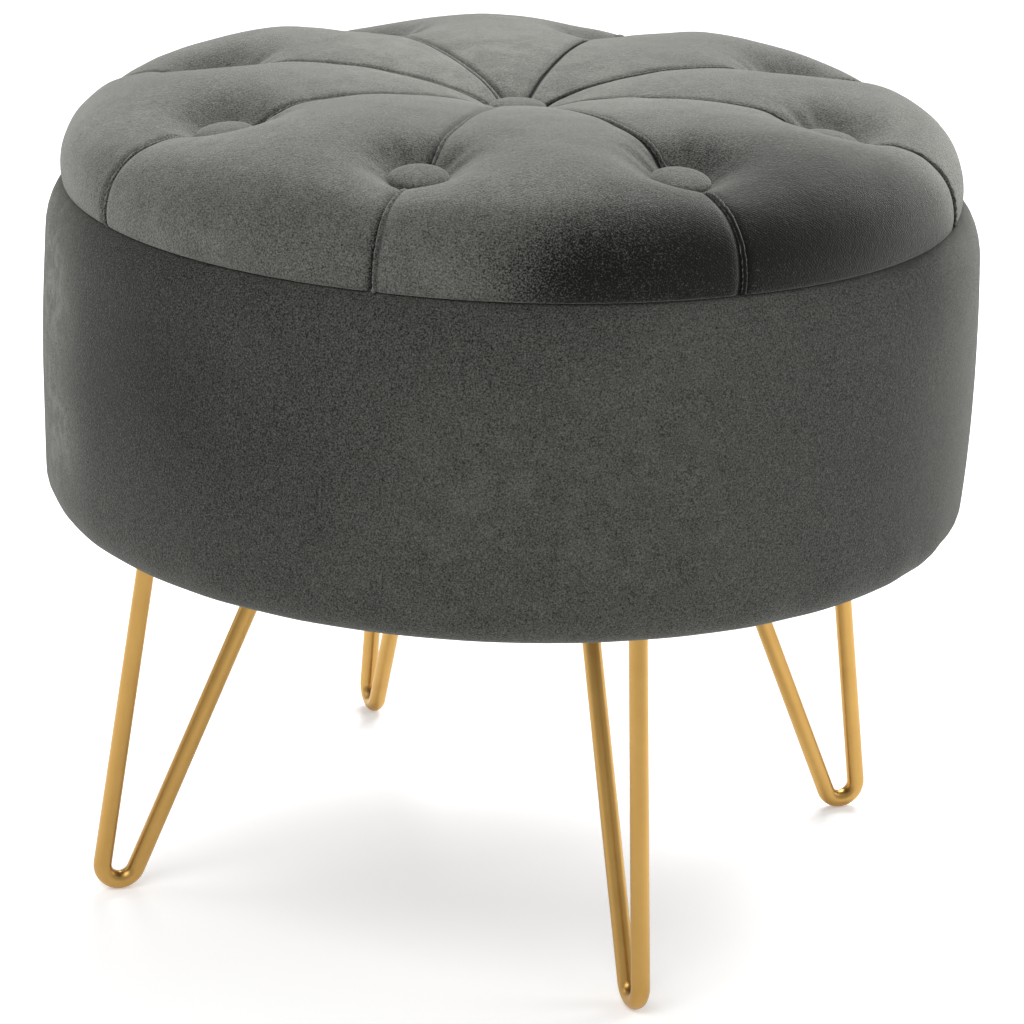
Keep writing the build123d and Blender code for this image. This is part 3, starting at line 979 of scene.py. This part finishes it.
hoop_over = hoop_top / MM + OFF_WOOD
inner = [(RIM_EDGE, hoop_over), (hoop_out, hoop_over), (hoop_out, wall_over)]
inner += [(wood, z) for z in (wall_over, 320.0, 270.0, 220.0, board_side + 6.0)]
inner += [(wood - 1.8, board_side + 1.8), (wood - 6.0, board_side)]
inner += [(UNDER_EDGE, board_side), (UNDER_EDGE, low)]
cover_line = np.array(outer + inner)
print(f"the cover's line has {len(cover_line)} points, {len(outer)} of them outside")

# %% [markdown]
# The spun columns crowd together at the back, where the cover's one upright seam is. Foam and
# hand work never leave a drum quite round, so the side wanders a little, and every staple below
# draws the lower edge into a shallow gather.

# %% Spin the drum's cover
BACK_SEAM = math.radians(90.0)
COVER_COLUMNS = 360
CROWDING = 1.5
STAPLES = 32
SIDE_FROM, SIDE_RUN = 224 * MM, 10 * MM
# the side's unevenness: height, size of a lump, seed
DRUM_DENTS = ((0.55 * MM, 0.13, 2.0), (0.25 * MM, 0.04, 5.0))
# gathers over the staples and loose ones between them, in a band above the lower edge
STAPLE_GATHER, LOOSE_GATHER = 0.5 * MM, 0.7 * MM
BAND_HIGH, BAND_WIDE = 8 * MM, 16 * MM
SEWN_DEEP, SEWN_WIDE = 1.6 * MM, 2.2 * MM
cover = lathe("drum_cover", cover_line * MM, COVER_COLUMNS)
spots = points_of(cover)
radius, angle = polar(spots)
share = angle / math.pi
angle = BACK_SEAM + math.pi * np.sign(share) * np.abs(share) ** CROWDING
outside = nearest_on(cover_line * MM, radius, spots[:, 2]) < len(outer)
height = spots[:, 2]
spots = from_polar(radius, angle, height)
on_side = outside * rise(radius, SIDE_FROM, SIDE_RUN)
wander = sum(high * lumps(spots, size, seed) for high, size, seed in DRUM_DENTS)
near_low = bell(height - drum_low.z - BAND_HIGH, BAND_WIDE)
pulled = np.cos(STAPLES * angle) * (0.5 + 0.5 * lumps(spots, 0.09, 8.0))
gathers = STAPLE_GATHER * pulled + LOOSE_GATHER * lumps(spots, 0.028, 11.0)
seam_far = radius * np.abs(turn_from(BACK_SEAM, angle))
sewn = SEWN_DEEP * bell(seam_far, SEWN_WIDE)
radius = radius + on_side * (wander + near_low * gathers - sewn)
set_points(cover, from_polar(radius, angle, height))
# (side, ahead, height, size, amount) of each patch of painted light (above zero) or painted shade
# (below zero) on the drum, in millimetres; one dark patch is the painted shadow under the lid's
# right edge
DRUM_PAINTED_LIGHT_AND_SHADE = (
    (-210, -115, 290, 80, -0.26), (-165, -175, 330, 85, -0.2), (-100, -215, 260, 70, -0.05),
    (-234, -50, 330, 45, 0.2), (-229, -72, 290, 38, 0.28), (-226, -82, 242, 34, 0.28),
    (-228, -74, 345, 26, 0.26), (-220, -94, 318, 20, 0.24), (-218, -100, 262, 20, 0.24),
    (236, -40, 320, 60, 0.1), (199, -134, 230, 70, -0.18), (200, -120, 366, 34, -0.2),
    (60, -232, 300, 110, 0.04), (0, -236, 362, 60, -0.1), (180, -158, 330, 70, -0.12),
    (-60, -232, 310, 60, -0.04), (-20, -238, 300, 50, 0.08),
)
paint_nap_light_and_shade(cover, DRUM_PAINTED_LIGHT_AND_SHADE)
dress(cover, drum_velvet_painted_darker, "base")
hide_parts("side_cover", "wall_foam")
print(f"drum cover has {len(cover.data.polygons)} faces")

# %% The back seam's fold
# the back fold's nap is painted shade, darker like the lid's folds
BACK_SUNK, BACK_FOLD_PAINTED_SHADE = 0.3, -0.1
BACK_PUCKER_HIGH, BACK_PUCKER_LONG, BACK_SEED = 0.15 * MM, 4.0 * MM, 40
climb = [(r * MM, z * MM) for r, z in flow(outer[4:-3], RING_SPACING)]
ways = [BACK_SEAM + FOLD_SIDE / r for r, z in climb]
path = [(r * math.cos(way), r * math.sin(way), z) for (r, z), way in zip(climb, ways)]
path = laid_on(cover, path, BACK_SUNK * FOLD_R)
back_fold = tube(strand("back_seam_fold", path), FOLD_R)
pucker(back_fold, BACK_PUCKER_HIGH, BACK_PUCKER_LONG, BACK_SEED)
paint_nap_light_and_shade(back_fold, DRUM_PAINTED_LIGHT_AND_SHADE, BACK_FOLD_PAINTED_SHADE)
dress(back_fold, drum_velvet_painted_darker, "base")
print("back seam fold laid")

# %% [markdown]
# ## Linings and dust cover
#
# The box is lined with thin non-woven cloth, glued and stapled, and the same cloth hides the
# base board from below and the lid's board. It is stiff and never lies quite flat. Each sheet
# is turned as a bare surface, rucked, and given its thickness at the end.

# %% Sheets of cloth
CLOTH = 0.6 * MM
# in millimetres: a sheet's middle stays off wood by the first, or by the second where it is tight
OFF_BOARD, CLOSE = 0.45, 0.4
WALL_COLUMNS, DISC_COLUMNS = 360, 192


def sheet(node, chain, steps, rucks, material, body):
    piece = lathe(f"{node}_cloth", np.array(chain) * MM, steps)
    if rucks:
        set_points(piece, rucks(points_of(piece)))
    thick = piece.modifiers.new("Cloth", "SOLIDIFY")
    thick.thickness = CLOTH
    thick.offset = 0.0
    apply_all(piece)
    dress(piece, material, body)
    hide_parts(node)
    print(f"{piece.name} has {len(piece.data.polygons)} faces")


RUCK_DEEP = 2.6 * MM
RUCK_END, RUCK_RUN = 4 * MM, 12 * MM


def wall_rucks(spots):
    """Upright folds that lean, all the way up to the hoop, where they flatten."""
    radius, angle = polar(spots)
    height = spots[:, 2]
    slanted = from_polar(np.full(len(spots), 0.22), angle + 0.6 * height, height * 0.35)
    broad = np.clip(lumps(slanted, 0.022, 4.0), 0, 1)
    fine = np.clip(lumps(slanted, 0.009, 6.0), 0, 1)
    free = fall(height, hoop_low - RUCK_END, RUCK_RUN)
    return from_polar(radius - RUCK_DEEP * (broad + 0.5 * fine) * free, angle, height)


# the sheet climbs the wall, goes in under the hoop, up its inner face and out over the rim
inside = hoop_r / MM - OFF_BOARD
hoop_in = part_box("lid_locator")[1].x / MM + 8.2
hoop_z = hoop_low / MM
over_z = hoop_top / MM + OFF_BOARD
wall_line = [(inside, z) for z in np.linspace(board_top / MM + 0.9, hoop_z - 2.0, 34)]
wall_line += [(inside - 1.0, hoop_z - 0.6)]
wall_line += [(r, hoop_z - OFF_BOARD) for r in np.linspace(inside - 3.0, hoop_in + 1.5, 5)]
wall_line += [(hoop_in + 0.15, hoop_z + 0.6)]
wall_line += [(hoop_in, z) for z in np.linspace(hoop_z + 2.5, over_z - 2.0, 5)]
wall_line += [(hoop_in + 0.4, over_z - 0.4)]
wall_line += [(r, over_z) for r in np.linspace(hoop_in + 2.0, RIM_EDGE - 0.4, 4)]
sheet(
    "wall_lining", wall_line, WALL_COLUMNS, wall_rucks, black_lining, "base",
)

# %% [markdown]
# The three round sheets are discs. The floor's lies on the board, the dust cover is stretched
# over the legs' side of it and stapled at its edge, and the lid's wraps the locating disc.


# %% Round sheets
UP, DOWN = 1, -1
FLAT_RUN = 14 * MM
POINT_SPACING = 4.0


def flat_rucks(size, length, edge, way, seed):
    """Shallow folds of that size, up or down, fading out towards the edge."""

    def move(spots):
        radius, angle = polar(spots)
        fold = np.clip(lumps(spots * (1.0, 0.45, 1.0), length, seed), -0.15, 1) + 0.15
        fine = 0.3 * np.clip(lumps(spots, length * 0.35, seed + 3), 0, 1)
        free = fall(radius, edge, FLAT_RUN)
        lifted = spots.copy()
        lifted[:, 2] += way * size * (fold + fine) * free
        return lifted

    return move


def spokes(reach):
    """Radii from the middle of a disc, in millimetres."""
    return list(np.linspace(0.0, reach, int(reach / POINT_SPACING)))


floor_z = board_top / MM + OFF_BOARD
sheet(
    "floor_lining", [(r, floor_z) for r in spokes(223.5)], DISC_COLUMNS,
    flat_rucks(size=1.6 * MM, length=0.05, edge=0.222, way=UP, seed=12.0), black_lining, "base",
)
dust_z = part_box("dust_cover")[1].z / MM - OFF_BOARD
dust_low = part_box("dust_cover")[0].z / MM + CLOSE
dust_line = [(r, dust_z) for r in spokes(209.0)] + [(211.0, dust_z - 0.7)]
dust_line += [(r, dust_low) for r in (213.0, 218.0, 222.0, 225.6)]
sheet(
    "dust_cover", dust_line, DISC_COLUMNS, None, dust_cloth, "base",
)
locator_low, locator_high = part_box("lid_locator")
disc_z = locator_low.z / MM - CLOSE
disc_r = locator_high.x / MM + OFF_BOARD
disc_line = [(r, disc_z) for r in spokes(disc_r - 1.5)] + [(disc_r - 0.3, disc_z + 0.3)]
disc_line += [(disc_r, z) for z in np.linspace(disc_z + 1.8, locator_high.z / MM - CLOSE, 4)]
sheet(
    "lid_lining", disc_line, DISC_COLUMNS,
    flat_rucks(size=0.9 * MM, length=0.05, edge=0.198, way=DOWN, seed=23.0), black_lining, "lid",
)

# %% [markdown]
# ## Stage, light and camera
#
# A pale floor and large soft lights. The brightest is high up behind the ottoman, so the lid
# is light, the drum's front stays dark, and the pile's sheen draws both of its edges.

# %% Stage
FLOOR_SIZE = 60
clear_selection()
bpy.ops.mesh.primitive_plane_add(size=FLOOR_SIZE, location=(0, 0, 0))
floor = bpy.context.object
floor.name = "studio_floor"
paint = Finish("floor_paint", Roughness=0.6, Specular_IOR_Level=0.2, Emission_Strength=0.3)
paint.shader.inputs["Emission Color"].default_value = (1, 1, 1, 1)
paint.feed("Base Color", paint.blend(paint.noise(6.0), (0.9, 0.9, 0.9, 1), (0.94, 0.94, 0.94, 1)))
floor.data.materials.append(paint.material)
floor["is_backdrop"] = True


def softbox(name, place, aim, size, power):
    """A rectangular lamp at a place, turned to its aim."""
    light = bpy.data.lights.new(name, "AREA")
    light.shape = "RECTANGLE"
    light.size, light.size_y = size
    light.energy = power
    holder = bpy.data.objects.new(name, light)
    bpy.context.scene.collection.objects.link(holder)
    holder.location = place
    holder.rotation_euler = (Vector(aim) - Vector(place)).to_track_quat("-Z", "Y").to_euler()


softbox("key", beside(0.4, 1.6, 1.9), (0, 0, 0.3), (1.8, 1.2), 66)
softbox("rim_left", beside(-2.0, 0.3, 1.1), (0, 0, 0.3), (0.8, 1.4), 4.5)
softbox("rim_right", beside(2.0, 0.6, 1.0), (0, 0, 0.3), (0.8, 1.4), 14)
softbox("fill_front", beside(-0.7, -1.5, 2.3), (0, 0, 0.35), (1.8, 1.4), 26)

# how bright the room is on the object, and how bright it looks behind it
ROOM_LIGHT, BACKDROP = 0.55, 1.0
world = bpy.data.worlds.new("studio")
bpy.context.scene.world = world
world.use_nodes = True
sky = world.node_tree.nodes["Background"]
seen = world.node_tree.nodes.new("ShaderNodeLightPath")
mix = world.node_tree.nodes.new("ShaderNodeMix")
mix.data_type = "FLOAT"
mix.inputs["A"].default_value = ROOM_LIGHT
mix.inputs["B"].default_value = BACKDROP
world.node_tree.links.new(seen.outputs["Is Camera Ray"], mix.inputs["Factor"])
world.node_tree.links.new(mix.outputs["Result"], sky.inputs["Strength"])
sky.inputs["Color"].default_value = (1, 1, 1, 1)
bpy.context.scene.view_settings.view_transform = "Standard"

# %% [markdown]
# The camera stands well back with a long lens, looks a little down and is tilted by a hair.
# Its distance and its aim are in drum radii.

# %% Camera
VIEW_LIFT = math.radians(18.576)
VIEW_ROLL = math.radians(2.123)
AIM_SIDE, AIM_HIGH, STAND_BACK = 0.0195, 0.7989, 8.5498
LENS, SENSOR = 136.37, 36.0
back = -away_flat * math.cos(VIEW_LIFT) + Vector((0, 0, math.sin(VIEW_LIFT)))
aim = right * AIM_SIDE * drum_r + Vector((0, 0, AIM_HIGH * drum_r))
up = back.cross(right)
rolled_right = right * math.cos(VIEW_ROLL) + up * math.sin(VIEW_ROLL)
rolled_up = up * math.cos(VIEW_ROLL) - right * math.sin(VIEW_ROLL)
camera = bpy.data.objects.new("camera", bpy.data.cameras.new("camera"))
bpy.context.scene.collection.objects.link(camera)
camera.data.sensor_width = SENSOR
camera.data.lens = LENS
axes = Matrix((rolled_right, rolled_up, back)).transposed().to_4x4()
camera.matrix_world = Matrix.Translation(aim + back * STAND_BACK * drum_r) @ axes
bpy.context.scene.camera = camera

# %% [markdown]
# ## Finishes for the CAD parts that stay

# %% Finishes on the frame
kept = {
    "plywood": ply, "lining": black_lining, "dust_cloth": dust_cloth, "gold": gold,
    "zinc_steel": zinc_plate, "black_steel": black_bolt, "twine": waxed_twine, "foam": foam,
    "velvet": drum_velvet_painted_darker,
}
slots = {s["node"]: s["material_slot"] for s in frame["record"]["subparts"]}
for name, node in frame["nodes"].items():
    node.data.materials.clear()
    node.data.materials.append(kept[slots[name]])

# %% Print the sizes and finish
low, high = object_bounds()
print("visual box", [round(v, 4) for v in (*low, *high)])
